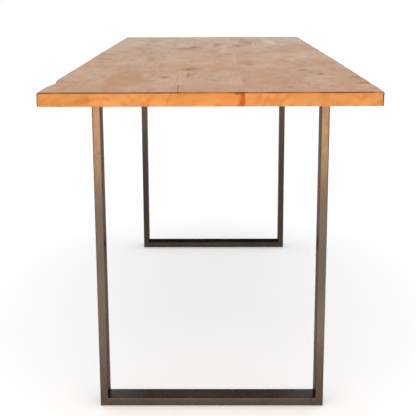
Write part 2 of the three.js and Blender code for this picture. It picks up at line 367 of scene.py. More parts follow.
class Finish:
    """A material while its nodes are being joined up."""

    def __init__(self, name):
        self.material = bpy.data.materials.new(name)
        self.material.use_nodes = True
        self.nodes = self.material.node_tree.nodes
        self.links = self.material.node_tree.links
        self.shader = self.nodes["Principled BSDF"]

    def node(self, kind, **inputs):
        """A new node. An input is a number, a colour or another node's output."""
        made = self.nodes.new(kind)
        for key, value in inputs.items():
            self.plug(made.inputs[key], value)
        return made

    def plug(self, socket, value):
        """Joins an output to a socket, or sets the socket's own value."""
        if isinstance(value, bpy.types.NodeSocket):
            self.links.new(value, socket)
        else:
            socket.default_value = value

    def surface(self, **inputs):
        """Sets or joins the shader's own inputs. An underscore stands for a space in a name."""
        for key, value in inputs.items():
            self.plug(self.shader.inputs[key.replace("_", " ")], value)

    def place(self):
        """Where a point of the piece is."""
        return self.node("ShaderNodeTexCoord").outputs["Object"]

    def facing(self):
        """Which way the piece faces there, as X, Y and Z."""
        return self.split(self.node("ShaderNodeTexCoord").outputs["Normal"])

    def split(self, vector):
        """The X, Y and Z of a vector."""
        return self.node("ShaderNodeSeparateXYZ", Vector=vector).outputs

    def maths(self, operation, *values):
        """The result of a Math node."""
        made = self.nodes.new("ShaderNodeMath")
        made.operation = operation
        for socket, value in zip(made.inputs, values):
            self.plug(socket, value)
        return made.outputs[0]

    def vector(self, operation, *values):
        """The result of a Vector Math node."""
        made = self.nodes.new("ShaderNodeVectorMath")
        made.operation = operation
        for socket, value in zip(made.inputs, values):
            self.plug(socket, value)
        return made.outputs["Value" if operation == "LENGTH" else "Vector"]

    def noises(self, place, stretch, detail, rough, offset):
        """A noise node's outputs, at `place` times `stretch` in each direction, plus `offset`."""
        spot = self.vector("MULTIPLY_ADD", place, stretch, offset)
        made = self.node("ShaderNodeTexNoise", Vector=spot, Scale=1.0, Detail=detail, Roughness=rough)
        return made.outputs

    def noise(self, place, stretch, detail=3, rough=0.5, offset=(0, 0, 0)):
        """Noise from 0 to 1."""
        return self.noises(place, stretch, detail, rough, offset)["Fac"]

    def shaken(self, start, reach, place, stretch, detail, rough, offset=(0, 0, 0)):
        """`start` moved by noise, by as much as half of `reach` either way."""
        cloud = self.noises(place, stretch, detail, rough, offset)["Color"]
        shake = self.vector("SUBTRACT", cloud, (0.5, 0.5, 0.5))
        return self.vector("ADD", start, self.vector("MULTIPLY", shake, reach))

    def step(self, value, low, high, to_low=0.0, to_high=1.0):
        """A smooth step from to_low, at low, to to_high, at high."""
        made = self.nodes.new("ShaderNodeMapRange")
        made.interpolation_type = "SMOOTHSTEP"
        for socket, number in zip(made.inputs, (value, low, high, to_low, to_high)):
            self.plug(socket, number)
        return made.outputs[0]

    def mix(self, amount, one, two, blend="MIX"):
        """One colour laid over another. A Mix node's colours are its inputs 6 and 7 and output 2."""
        made = self.nodes.new("ShaderNodeMix")
        made.data_type = "RGBA"
        made.blend_type = blend
        self.plug(made.inputs["Factor"], amount)
        self.plug(made.inputs[6], one)
        self.plug(made.inputs[7], two)
        return made.outputs[2]

    def ramp(self, value, stops):
        """The colour and cover at `value` on a ramp of (place, red, green, blue, cover)."""
        made = self.nodes.new("ShaderNodeValToRGB")
        elements = made.color_ramp.elements
        while len(elements) < len(stops):
            elements.new(0.5)
        for element, (place, *colour) in zip(elements, stops):
            element.position = place
            element.color = colour
        self.plug(made.inputs[0], value)
        return made.outputs["Color"], made.outputs["Alpha"]

    def bump(self, height, strength, distance):
        """Turns a height into a bump on the shader."""
        made = self.node("ShaderNodeBump", Height=height, Strength=strength, Distance=distance)
        self.surface(Normal=made.outputs["Normal"])


# How a mark's colour and cover go from its middle (0) to past its rim (1).
KNOT = (
    (0.0, 0.20, 0.070, 0.012, 0.95),
    (0.30, 0.32, 0.120, 0.018, 0.95),
    (0.42, 0.42, 0.180, 0.032, 0.92),
    (0.55, 0.31, 0.120, 0.020, 0.90),
    (0.75, 0.43, 0.190, 0.042, 0.82),
    (1.0, 0.50, 0.26, 0.09, 0.0),
)
OLD_KNOT = (
    (0.0, 0.20, 0.100, 0.055, 0.92),
    (0.35, 0.27, 0.140, 0.076, 0.85),
    (0.65, 0.37, 0.205, 0.115, 0.65),
    (1.0, 0.47, 0.28, 0.17, 0.0),
)
HEART = (
    (0.0, 0.30, 0.060, 0.012, 0.95),
    (0.25, 0.40, 0.095, 0.020, 0.90),
    (0.38, 0.27, 0.055, 0.012, 0.90),
    (0.52, 0.50, 0.160, 0.040, 0.80),
    (0.66, 0.40, 0.110, 0.025, 0.70),
    (1.0, 0.60, 0.26, 0.09, 0.0),
)
CRACK = ((0.0, 0.42, 0.15, 0.035, 0.75), (0.5, 0.44, 0.17, 0.05, 0.50), (1.0, 0.50, 0.25, 0.1, 0.0))
STAIN = ((0.0, 0.37, 0.180, 0.080, 0.88), (0.6, 0.40, 0.200, 0.090, 0.72), (1.0, 0.46, 0.25, 0.13, 0.0))
WARM = ((0.0, 0.430, 0.210, 0.088, 0.88), (0.6, 0.45, 0.22, 0.095, 0.68), (1.0, 0.49, 0.27, 0.14, 0.0))
EMBER = ((0.0, 0.50, 0.20, 0.065, 0.55), (0.5, 0.52, 0.23, 0.08, 0.40), (1.0, 0.54, 0.28, 0.12, 0.0))
PALE = ((0.0, 0.60, 0.46, 0.35, 0.50), (0.5, 0.59, 0.44, 0.33, 0.32), (1.0, 0.56, 0.40, 0.28, 0.0))
# A painted highlight: a pale sheen on the lacquer, laid on as colour.
PAINTED_SHEEN = ((0.0, 0.66, 0.55, 0.46, 0.80), (0.5, 0.63, 0.51, 0.42, 0.55), (1.0, 0.58, 0.45, 0.35, 0.0))
OLD_STAIN = ((0.0, 0.36, 0.240, 0.180, 0.80), (0.5, 0.38, 0.25, 0.188, 0.62), (1.0, 0.45, 0.30, 0.21, 0.0))
# Painted shade in an open check. The heart cap takes the same dark as its own colour.
CHECK_SHADE_AND_DARK_HEART = ((0.0, 0.055, 0.024, 0.012, 0.95), (0.6, 0.110, 0.050, 0.022, 0.85), (1.0, 0.30, 0.15, 0.07, 0.0))

# What the wood's colour is multiplied by toward the far end, a painted reflection of the sky that
# makes it paler and greyer, and the places along the table where that starts and ends.
PAINTED_FAR_SHEEN = (0.96, 1.10, 1.26, 1)
PAINTED_FAR_SHEEN_REACH = (-0.45, 0.75)

# The end grain's tint, painted shade on the underside, and painted shade on the arrises.
END_TONE = (0.925, 0.775, 0.44, 1)
PAINTED_UNDERSIDE_SHADE = (0.165, 0.130, 0.100, 1)
# Painted shade on the ends' top arrises and on the natural edge's roundings.
PAINTED_ARRIS_SHADE = (0.13, 0.045, 0.012, 1)
PAINTED_ROUNDING_SHADE = (0.15, 0.060, 0.020, 1)

# How far the painted shade goes from an end's top arris, and on the end's face from the slab's widest.
ARRIS_SHADE_REACH = (0.0020, 0.0050)
CORNER_SHADE_REACH = (0.0085, 0.0060)

# How deep the painted shade in a check goes, the longest knot that turns the grain, and the
# narrowest stain or painted sheen that has a cloudy rim.
CHECK_COLOUR_DEPTH = (0.008, 0.003)
TURNING_KNOT = 0.05
CLOUDY_PATCH = 0.018

RINGS_A_METRE = 150
SEASONS_A_METRE = 260


def tinted(tone, red, green, blue):
    """A colour with its red, green and blue multiplied."""
    return tone[0] * red, tone[1] * green, tone[2] * blue, 1


def distance(finish, oval, spot):
    """0 in the middle of the mark and 1 at its rim."""
    away = finish.vector("SUBTRACT", spot, (oval.x, oval.y, SLAB_TOP))
    if oval.lean or oval.slant:
        turned = finish.node("ShaderNodeVectorRotate", Vector=away)
        turned.rotation_type = "EULER_XYZ"
        turned.inputs["Rotation"].default_value = (0, -math.radians(oval.slant), -math.radians(oval.lean))
        away = turned.outputs[0]
    shrunk = finish.vector("MULTIPLY", away, (1 / oval.half_width, 1 / oval.half_length, 0))
    return finish.vector("LENGTH", shrunk)


def wood_with_painted_light(name, tone, pith, seed, marks, checks, joints):
    """Lacquered hardwood, with painted shade and painted reflections laid into its colour. tone is its
    colour, pith the (x, z) that its rings are centred on, marks is a list of (mark, ramp), checks are
    the marks that are dark only near the top, as painted shade in an open check and as the heart's
    own dark at the heart cap, and joints are the places across the slab where a glue line shows."""
    finish = Finish(name)
    place = finish.place()
    x, y, z = finish.split(place)
    face_x, face_y, face_z = finish.facing()
    end_face = finish.maths("ABSOLUTE", face_y)
    end_grain = finish.step(end_face, 0.5, 0.9)

    # The grain wanders along the board. A mark's rim is ragged, and the rim of a broad stain or a
    # painted sheen is cloudy too.
    grain = finish.shaken(place, (0.10, 0.0, 0.05), place, (3.2, 0.9, 6.0), 2, 0.45, (seed, seed, seed))
    ragged = finish.shaken(place, (0.022, 0.04, 0.022), place, (38, 16, 38), 3, 0.6)
    cloudy = finish.shaken(ragged, (0.11, 0.34, 0.0), place, (13, 4.5, 13), 3, 0.55, (seed, 0, 0))

    # How far a point is from the middle of each mark. The grain swings round a small knot.
    distances = []
    for oval, stops in marks:
        broad_patch = stops in (WARM, STAIN, PALE, PAINTED_SHEEN) and oval.half_width > CLOUDY_PATCH
        far = distance(finish, oval, cloudy if broad_patch else ragged)
        distances.append((far, stops))
        if stops in (KNOT, OLD_KNOT, HEART) and oval.half_length < TURNING_KNOT:
            swing = finish.node("ShaderNodeCombineXYZ", X=finish.step(far, 0.2, 4.0, 1.3, 0.0))
            offset = finish.vector("SUBTRACT", place, (oval.x, 0, 0))
            grain = finish.vector("ADD", grain, finish.vector("MULTIPLY", offset, swing.outputs[0]))

    # Growth rings round the pith, seen as lines along the top and arcs across the ends.
    from_pith = finish.vector("SUBTRACT", grain, (pith[0], 0, pith[1]))
    radius = finish.vector("LENGTH", finish.vector("MULTIPLY", from_pith, (1, 0, 1)))
    uneven = finish.noise(place, (9, 0.6, 9), 2, 0.5, (seed, 0, seed))
    count = finish.maths("MULTIPLY_ADD", uneven, 2.4, finish.maths("MULTIPLY", radius, RINGS_A_METRE))
    late = finish.maths("POWER", finish.maths("FRACT", count), 3.0)

    # Clouds of lighter and darker wood, and the fibres.
    cloud = finish.noise(place, (9, 3.0, 9), 4, 0.58, (seed, 0, 0))
    warmth = finish.noise(place, (7, 2.2, 14), 4, 0.6, (seed, seed, 0))
    patch = finish.noise(place, (26, 9, 26), 4, 0.6, (0, seed, 0))
    fibre = finish.noise(place, (420, 7, 420), 3, 0.65)
    line = finish.noise(place, (1500, 16, 1500), 2, 0.6)
    pore = finish.noise(place, (1100, 55, 1100), 2, 0.5)

    base = tinted(tone, 1, 1, 1)
    light = tinted(tone, 1.14, 1.20, 1.28)
    warm = tinted(tone, 0.97, 0.84, 0.66)
    dark = tinted(tone, 0.72, 0.58, 0.47)
    ember = tinted(tone, 0.90, 0.62, 0.30)
    colour = finish.mix(finish.step(cloud, 0.38, 0.62), base, light)
    colour = finish.mix(finish.step(warmth, 0.46, 0.66, 0.0, 0.80), colour, warm)
    colour = finish.mix(finish.step(patch, 0.50, 0.74, 0.0, 0.60), colour, dark)
    ring_cover = finish.maths("MULTIPLY_ADD", end_grain, -0.02, 0.20)
    colour = finish.mix(finish.maths("MULTIPLY", late, ring_cover), colour, dark)

    # Broad bands of redder wood show on the end grain.
    season = finish.maths("MULTIPLY_ADD", uneven, 14.0, finish.maths("MULTIPLY", radius, SEASONS_A_METRE))
    band = finish.step(finish.maths("SINE", season), -0.3, 1.0)
    flame = finish.maths("MULTIPLY", band, finish.step(patch, 0.36, 0.62))
    flame = finish.maths("MULTIPLY", flame, finish.maths("MULTIPLY", end_grain, 0.60))
    colour = finish.mix(flame, colour, ember)
    colour = finish.mix(finish.step(fibre, 0.48, 0.76, 0.0, 0.28), colour, dark)
    colour = finish.mix(finish.step(line, 0.52, 0.76, 0.0, 0.22), colour, dark)
    # Painted reflection: toward the far end the wood turns paler and greyer.
    far_sheen_colour = finish.mix(1.0, colour, PAINTED_FAR_SHEEN, "MULTIPLY")
    colour = finish.mix(finish.step(y, *PAINTED_FAR_SHEEN_REACH), colour, far_sheen_colour)
    colour = finish.mix(finish.step(pore, 0.60, 0.72, 0.0, 0.35), colour, dark)

    for far, stops in distances:
        tint, cover = finish.ramp(far, stops)
        colour = finish.mix(cover, colour, tint)
    # Painted shade darkens the open checks near the top. At the heart cap, the same dark is the heart's
    # own.
    shallow = finish.step(z, *(SLAB_TOP - depth for depth in CHECK_COLOUR_DEPTH))
    for oval in checks:
        tint, cover = finish.ramp(distance(finish, oval, place), CHECK_SHADE_AND_DARK_HEART)
        colour = finish.mix(finish.maths("MULTIPLY", cover, shallow), colour, tint)

    # The glue lines are thin and dark, painted shade darkens the underside, and the end grain drinks
    # the lacquer.
    for joint in joints:
        gap = finish.maths("ABSOLUTE", finish.maths("SUBTRACT", x, joint))
        colour = finish.mix(finish.step(gap, 0.0003, 0.0009, 0.55, 0.0), colour, dark)
    colour = finish.mix(finish.step(face_z, -0.9, -0.5, 0.80, 0.0), colour, PAINTED_UNDERSIDE_SHADE)
    colour = finish.mix(end_grain, colour, END_TONE, "MULTIPLY")

    # Painted shade darkens the ends' top arrises, the end faces' outer sides and the natural edge's
    # roundings, here more, there less.
    end_gap = finish.maths("SUBTRACT", FAR_END, finish.maths("ABSOLUTE", y))
    top_gap = finish.maths("SUBTRACT", SLAB_TOP, z)
    gaps = finish.node("ShaderNodeCombineXYZ", X=end_gap, Y=top_gap).outputs[0]
    arris_shade = finish.step(finish.vector("LENGTH", gaps), *ARRIS_SHADE_REACH, 1.0, 0.0)
    corner = finish.step(finish.maths("ABSOLUTE", x), *(cad_high.x - reach for reach in CORNER_SHADE_REACH))
    arris_shade = finish.maths("MAXIMUM", arris_shade, finish.maths("MULTIPLY", corner, end_grain))
    arris_shade_patchiness = finish.step(finish.noise(place, (11, 60, 60), 3, 0.6, (seed, 0, seed)), 0.30, 0.60, 0.50, 1.0)
    colour = finish.mix(finish.maths("MULTIPLY", arris_shade, arris_shade_patchiness), colour, PAINTED_ARRIS_SHADE)
    tree_edge = finish.maths("ABSOLUTE", face_x)
    turning = finish.maths("MAXIMUM", end_face, face_z)
    rounding_shade = finish.step(finish.maths("MULTIPLY", tree_edge, turning), 0.02, 0.18)
    rounding_shade_patchiness = finish.step(finish.noise(place, (60, 9, 60), 3, 0.6, (seed, seed, 0)), 0.35, 0.60, 0.55, 1.0)
    colour = finish.mix(finish.maths("MULTIPLY", rounding_shade, rounding_shade_patchiness), colour, PAINTED_ROUNDING_SHADE)
    rub = finish.noise(place, (60, 22, 120), 3, 0.6)
    edge_tone = finish.mix(finish.step(rub, 0.35, 0.7), (0.80, 0.62, 0.45, 1), (1, 0.95, 0.88, 1))
    colour = finish.mix(finish.step(tree_edge, 0.25, 0.8), colour, edge_tone, "MULTIPLY")

    satin = finish.step(patch, 0.3, 0.7, 0.48, 0.56)
    shine = finish.maths("MULTIPLY_ADD", finish.step(pore, 0.5, 0.75), 0.12, satin)
    finish.surface(Base_Color=colour, Roughness=shine, Specular_IOR_Level=0.14)
    finish.bump(finish.maths("MULTIPLY_ADD", fibre, 0.5, finish.maths("MULTIPLY", pore, 0.5)), 0.12, 0.0006)
    return finish.material


LEFT_TONE = (0.500, 0.296, 0.176)
LEFT_PITH = (-0.30, SLAB_BOTTOM - 0.10)
LEFT_MARKS = [
    (mark(-0.250, 0.38, 0.075, 0.31), WARM),
    (mark(-0.265, 0.50, 0.020, 0.20), WARM),
    (mark(-0.290, 2.31, 0.050, 0.14), OLD_STAIN),
    (mark(-0.285, 1.52, 0.009, 0.060, 3), OLD_KNOT),
    (mark(-0.452, 1.45, 0.012, 0.050), KNOT),
    (mark(-0.232, 1.16, 0.022, 0.14), STAIN),
    (mark(-0.275, 1.10, 0.040, 0.26), PALE),
    (mark(-0.36, 2.15, 0.060, 0.34), PALE),
    (mark(-0.415, 0.24, 0.018, 0.030), OLD_STAIN),
]
left_board = blank_board(
    "left_board",
    natural_side("board_left", -1, round_width=0.0045, round_height=0.008, foot=0.0012, seed=3.7),
    planed_side(LEFT_JOINT),
)
carve(left_board, joinery(board_low.x, LEFT_JOINT))
dress(left_board, wood_with_painted_light("left_board_wood", LEFT_TONE, LEFT_PITH, 4.0, LEFT_MARKS, [], [LEFT_JOINT]))
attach(left_board, "root")
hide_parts("board_left")


# ---- The middle board ------------------------------------------------------------------------
# A plain board, planed on both sides and glued between the others. A drying check runs in from the
# near end in two lengths, another runs up to a tight knot, and the tree's dark heart is at one joint.

RIGHT_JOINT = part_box("board_middle")[1].x
MIDDLE_TONE = (0.520, 0.306, 0.185)
MIDDLE_PITH = (-0.02, SLAB_BOTTOM - 0.16)
MIDDLE_CHECKS = [
    mark(-0.0873, 0.09, 0.0005, 0.160, 1.8),
    mark(-0.0995, 0.375, 0.0005, 0.155),
    mark(-0.0710, 0.48, 0.0006, 0.170, 0.5),
]
# Where the heart comes up to the near arris. Its own colour is as dark as a check's painted shade,
# but it isn't open.
HEART_CAP = mark(0.078, 0.0, 0.017, 0.004)
MIDDLE_MARKS = [
    (mark(-0.078, 0.680, 0.036, 0.085), STAIN),
    (mark(-0.088, 0.698, 0.038, 0.016, 8), KNOT),
    (mark(-0.078, 0.682, 0.024, 0.050), KNOT),
    (mark(-0.038, 0.40, 0.006, 0.020), KNOT),
    (mark(0.020, 0.114, 0.0035, 0.008), KNOT),
    (mark(-0.143, 0.42, 0.022, 0.040, 30), OLD_KNOT),
    (mark(0.055, 0.66, 0.024, 0.050), OLD_STAIN),
    (mark(-0.005, 1.49, 0.045, 0.110), OLD_STAIN),
    (mark(-0.078, 1.80, 0.030, 0.15), STAIN),
    (mark(-0.083, 1.80, 0.018, 0.11), OLD_KNOT),
    (mark(-0.122, 1.71, 0.050, 0.12, 30), STAIN),
    (mark(-0.110, 1.74, 0.045, 0.035, 10), OLD_KNOT),
    (mark(0.010, 1.95, 0.030, 0.18), STAIN),
    (mark(0.083, 0.030, 0.010, 0.010), OLD_KNOT),
    (mark(0.058, -0.004, 0.034, 0.020, 0, 24), EMBER),
    (mark(0.0690, -0.004, 0.005, 0.020, 0, -24), CRACK),
    (mark(0.0945, -0.004, 0.014, 0.022, 0, 17), HEART),
    (mark(-0.104, 0.0, 0.0026, 0.012, 0, 14), CRACK),
]
middle_board = blank_board("middle_board", planed_side(LEFT_JOINT), planed_side(RIGHT_JOINT))
cutters = joinery(LEFT_JOINT, RIGHT_JOINT)
cutters += [check_cutter(oval) for oval in MIDDLE_CHECKS]
cutters.append(pit_cutter(mark(-0.076, 0.690, 0.007, 0.013), depth=0.0016))
carve(middle_board, cutters)
middle_dark = MIDDLE_CHECKS + [HEART_CAP]
middle_joints = [LEFT_JOINT, RIGHT_JOINT]
dress(middle_board, wood_with_painted_light(
    "middle_board_wood", MIDDLE_TONE, MIDDLE_PITH, 11.0, MIDDLE_MARKS, middle_dark, middle_joints
))
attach(middle_board, "root")
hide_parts("board_middle")


# ---- The right board -------------------------------------------------------------------------
# The widest board, with the tree's edge on its right, and knots and burls along that edge. A short
# drying check lies near its far end.

RIGHT_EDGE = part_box("board_right")[1].x
RIGHT_TONE = (0.508, 0.300, 0.180)
RIGHT_PITH = (0.36, SLAB_BOTTOM - 0.12)
RIGHT_CHECKS = [mark(0.200, 2.03, 0.0008, 0.090)]
RIGHT_MARKS = [
    (mark(0.345, 0.51, 0.020, 0.050, -14), OLD_KNOT),
    (mark(0.300, 0.66, 0.020, 0.050, -20), OLD_KNOT),
    (mark(0.302, 0.78, 0.026, 0.070), OLD_STAIN),
    (mark(0.220, 0.127, 0.011, 0.016), KNOT),
    (mark(0.120, 0.98, 0.040, 0.16), WARM),
    (mark(0.115, 1.90, 0.040, 0.11), STAIN),
    (mark(0.112, 1.90, 0.018, 0.080), OLD_KNOT),
    (mark(0.155, 2.18, 0.040, 0.27), STAIN),
    (mark(0.172, 2.08, 0.016, 0.060), OLD_KNOT),
    # A painted highlight, a pale sheen on the lacquer toward the far end.
    (mark(0.273, 2.21, 0.036, 0.30), PAINTED_SHEEN),
    (mark(0.285, 1.15, 0.030, 0.22), PALE),
    (mark(0.37, 1.30, 0.040, 0.30), PALE),
    (mark(0.39, 2.30, 0.050, 0.28), PALE),
    (mark(0.450, 0.425, 0.034, 0.019, 32), KNOT),
    (mark(0.447, 0.232, 0.038, 0.031, 10), KNOT),
    (mark(0.452, 0.092, 0.027, 0.014, 24), OLD_KNOT),
    (mark(0.450, 0.60, 0.020, 0.045), STAIN),
    (mark(0.455, 1.12, 0.011, 0.060), OLD_KNOT),
]
right_board = blank_board(
    "right_board",
    planed_side(RIGHT_JOINT),
    natural_side("board_right", 1, round_width=0.004, round_height=0.005, foot=0.003, seed=8.2),
)
cutters = joinery(RIGHT_JOINT, RIGHT_EDGE)
cutters += [check_cutter(oval) for oval in RIGHT_CHECKS]
cutters.append(pit_cutter(mark(0.345, 0.51, 0.005, 0.014, -14), depth=0.0012))
carve(right_board, cutters)
dress(right_board, wood_with_painted_light(
    "right_board_wood", RIGHT_TONE, RIGHT_PITH, 19.0, RIGHT_MARKS, RIGHT_CHECKS, [RIGHT_JOINT]
))
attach(right_board, "root")
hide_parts("board_right")


# ---- The loose tenons ------------------------------------------------------------------------
# Twelve slips of planed beech lie across the slab's two joints, six to a joint. They are glued into
# mortises in both boards, and line the boards up.

tenon_finish = Finish("planed_beech")
tenon_grain = tenon_finish.noise(tenon_finish.place(), (60, 900, 900), 3, 0.6)
tenon_finish.surface(
    Base_Color=tenon_finish.mix(tenon_grain, (0.52, 0.34, 0.17, 1), (0.66, 0.46, 0.26, 1)),
    Roughness=0.7,
)
tenon_finish.bump(tenon_grain, 0.15, 0.0003)
for node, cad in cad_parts.items():
    if node.startswith("tenon_"):
        cad.data.materials.clear()
        cad.data.materials.append(tenon_finish.material)


# ---- The threaded inserts --------------------------------------------------------------------
# Ten inserts turned from brass, five over each frame. They are screwed up into the slab's underside,
# and the bolts screw into them.

insert_finish = Finish("turned_brass")
insert_dull = insert_finish.noise(insert_finish.place(), (300, 300, 900), 3, 0.6)
insert_finish.surface(
    Base_Color=insert_finish.mix(insert_dull, (0.50, 0.34, 0.11, 1), (0.66, 0.47, 0.18, 1)),
    Roughness=insert_finish.step(insert_dull, 0.3, 0.7, 0.28, 0.5),
    Metallic=1,
)
for node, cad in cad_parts.items():
    if "_insert_" in node:
        cad.data.materials.clear()
        cad.data.materials.append(insert_finish.material)


# ---- The uprights and floor rails ------------------------------------------------------------
# Each frame is a floor rail and two uprights of flat steel tube, mitred at the floor and welded. The
# steel has a dark bronze patina under satin clear coat. Painted shade darkens it toward the floor, and
# the far frame all over, and a painted sky reflection lightens the faces that look up.

TUBE_WALL = 0.003
TUBE_CORNER = 0.004
CORNER_STEPS = 6

# What the patina is multiplied by: painted shade at a frame's foot, and a painted sky reflection on
# a face that looks up.
PAINTED_FOOT_SHADE = (0.60, 0.62, 0.67, 1)
PAINTED_SKY_REFLECTION = (1.35, 1.75, 2.30, 1)


def patina_with_painted_light(name, streak, depth=1.0, foot_shade_reach=(0.02, 0.26)):
    """Dark bronze patina on steel, with painted light in its colour. streak is how fast its brush marks
    change in X, Y and Z, and depth multiplies the colour, as painted shade where it is under 1. It
    darkens with painted shade toward the foot between the two heights of its last argument, and faces
    that look up are lighter and bluer with a painted sky reflection."""
    finish = Finish(name)
    place = finish.place()
    cloud = finish.noise(place, (7, 7, 4), 4, 0.6)
    mottle = finish.noise(place, (60, 60, 34), 4, 0.65)
    brushed = finish.noise(place, streak, 2, 0.5)
    tone = finish.mix(finish.step(cloud, 0.3, 0.7), (0.145, 0.114, 0.085, 1), (0.180, 0.142, 0.106, 1))
    tone = finish.mix(finish.step(mottle, 0.5, 0.8, 0.0, 0.35), tone, (0.115, 0.088, 0.065, 1))
    tone = finish.mix(finish.step(brushed, 0.4, 0.75, 0.0, 0.25), tone, (0.215, 0.172, 0.132, 1))
    # Painted shade, darker toward the floor.
    foot = finish.mix(finish.step(finish.split(place)["Z"], *foot_shade_reach), PAINTED_FOOT_SHADE, (1, 1, 1, 1))
    tone = finish.mix(1.0, tone, foot, "MULTIPLY")
    # The colour is multiplied by depth, which is painted shade on the far frame.
    tone = finish.mix(1.0, tone, (depth, depth * 0.97, depth * 0.93, 1), "MULTIPLY")
    # Painted sky reflection: faces that look up turn lighter and bluer.
    upward_painted_reflection = finish.step(finish.facing()["Z"], 0.5, 0.9)
    tone = finish.mix(upward_painted_reflection, tone, finish.mix(1.0, tone, PAINTED_SKY_REFLECTION, "MULTIPLY"))
    finish.surface(
        Base_Color=tone,
        Roughness=finish.step(mottle, 0.3, 0.8, 0.24, 0.34),
        Metallic=1,
        Specular_Tint=(0.24, 0.19, 0.15, 1),
    )
    finish.bump(brushed, 0.08, 0.0003)
    return finish.material


# Painted shade on the far frame: its colour is darker all over, and its painted foot shade reaches higher.
FAR_FRAME_PAINTED_SHADE = 0.64
FAR_FOOT_SHADE_REACH = (0.35, 0.85)
upright_patina = {
    "near": patina_with_painted_light("near_upright_patina", (1500, 1500, 25)),
    "far": patina_with_painted_light("far_upright_patina", (1500, 1500, 25), FAR_FRAME_PAINTED_SHADE, FAR_FOOT_SHADE_REACH),
}
crossways_patina = {
    "near": patina_with_painted_light("near_rail_patina", (25, 1500, 1500), 1.08),
    "far": patina_with_painted_light("far_rail_patina", (25, 1500, 1500), FAR_FRAME_PAINTED_SHADE, FAR_FOOT_SHADE_REACH),
}


def tube_ring(width, depth, radius):
    """A rectangle with round corners as (across, along, way it faces), from one corner round to it
    again."""
    ring = []
    for corner, (sx, sy) in enumerate(((1, 1), (-1, 1), (-1, -1), (1, -1))):
        for i in range(CORNER_STEPS + 1):
            turn = math.radians(90) * (corner + i / CORNER_STEPS)
            across = sx * (width / 2 - radius) + radius * math.cos(turn)
            along = sy * (depth / 2 - radius) + radius * math.sin(turn)
            ring.append((across, along, turn))
    return ring


def tube(name, width, depth, ends, put):
    """A mitred length of tube. ends gives where it starts and stops for a place across it, and put
    turns (across, along the table, along the tube) into a point."""
    mesh = bmesh.new()
    loops = []
    for shrink, radius in ((0, TUBE_CORNER), (TUBE_WALL, TUBE_CORNER - TUBE_WALL)):
        ring = tube_ring(width - 2 * shrink, depth - 2 * shrink, radius)
        for end in (0, 1):
            loops.append([mesh.verts.new(put(a, b, ends(a)[end])) for a, b, _ in ring])
    outer_start, outer_stop, inner_start, inner_stop = loops
    join_rings(mesh, outer_start, outer_stop)
    join_rings(mesh, inner_start, inner_stop)
    join_rings(mesh, outer_start, inner_start)
    join_rings(mesh, outer_stop, inner_stop)
    bmesh.ops.recalc_face_normals(mesh, faces=mesh.faces)
    return piece_from(mesh, name)


for end in ("near", "far"):
    for side, name in ((-1, "left_upright"), (1, "right_upright")):
        low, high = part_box(f"{end}_{name}")
        centre = (low + high) / 2
        half = (high.x - low.x) / 2
        upright = tube(
            f"{end}_{name}_tube",
            high.x - low.x,
            high.y - low.y,
            lambda a: (low.z + half - side * a, high.z),
            lambda a, b, t: (centre.x + a, centre.y + b, t),
        )
        dress(upright, upright_patina[end])
        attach(upright, "root")
        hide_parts(f"{end}_{name}")

    low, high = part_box(f"{end}_floor_rail")
    centre = (low + high) / 2
    half = (high.z - low.z) / 2
    rail = tube(
        f"{end}_floor_rail_tube",
        high.z - low.z,
        high.y - low.y,
        lambda a: (low.x + half + a, high.x - half - a),
        lambda a, b, t: (t, centre.y + b, centre.z + a),
    )
    dress(rail, crossways_patina[end])
    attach(rail, "root")
    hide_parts(f"{end}_floor_rail")


# ---- The welds at the mitres -----------------------------------------------------------------
# A weld runs right round each lower corner of a frame where the rail meets the upright. It is ground
# nearly flush, and the patina is laid over it.

WELD_REACH = 0.0026
WELD_RISE = 0.00032
WELD_BITE = 0.0003
WELD_STEP = 0.002
WELD_UNEVEN = 0.4

# A point between the weld's toe and its crown: how far out along the tube, and how high.
SHOULDER_REACH = 0.55
SHOULDER_RISE = 0.75


def round_the_tube(width, depth):
    """(across, along, facing across, facing along) at short steps round the tube's outside."""
    ring = tube_ring(width, depth, TUBE_CORNER)
    stations = []
    for here, there in zip(ring, ring[1:] + ring[:1]):
        steps = max(1, round(math.dist(here[:2], there[:2]) / WELD_STEP))
        for k in range(steps):
            across, along = [a + (b - a) * (k / steps) for a, b in zip(here[:2], there[:2])]
            stations.append((across, along, math.cos(here[2]), math.sin(here[2])))
    return stations


def rope(name, sections):
    """A piece from sections of the same number of points, joined into a closed loop."""
    mesh = bmesh.new()
    rings = [[mesh.verts.new(point) for point in section] for section in sections]
    for i, one in enumerate(rings):
        join_rings(mesh, one, rings[(i + 1) % len(rings)])
    bmesh.ops.recalc_face_normals(mesh, faces=mesh.faces)
    return piece_from(mesh, name)


for end in ("near", "far"):
    for side, name in ((-1, "left"), (1, "right")):
        low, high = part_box(f"{end}_{name}_upright")
        rail_low, rail_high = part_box(f"{end}_floor_rail")
        corner = Vector(((low.x + high.x) / 2, (low.y + high.y) / 2, (rail_low.z + rail_high.z) / 2))
        up = Vector((0, 0, 1))
        inward = Vector((-side, 0, 0))
        sections = []
        for across, along, face_x, face_y in round_the_tube(high.x - low.x, high.y - low.y):
            place = corner + Vector((across, along, -side * across))
            upright_face = Vector((face_x, face_y, 0))
            rail_face = Vector((0, face_y, -side * face_x))
            crown = (upright_face + rail_face).normalized()
            rise = WELD_RISE * (1 + WELD_UNEVEN * noise.noise(place * 260))
            shoulder = rise * SHOULDER_RISE
            sections.append((
                place - crown * WELD_BITE * 2,
                place + up * WELD_REACH - upright_face * WELD_BITE,
                place + up * WELD_REACH * SHOULDER_REACH + upright_face * shoulder,
                place + crown * rise,
                place + inward * WELD_REACH * SHOULDER_REACH + rail_face * shoulder,
                place + inward * WELD_REACH - rail_face * WELD_BITE,
            ))
        weld = rope(f"{end}_{name}_mitre_weld", sections)
        dress(weld, crossways_patina[end], 50)
        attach(weld, "root")


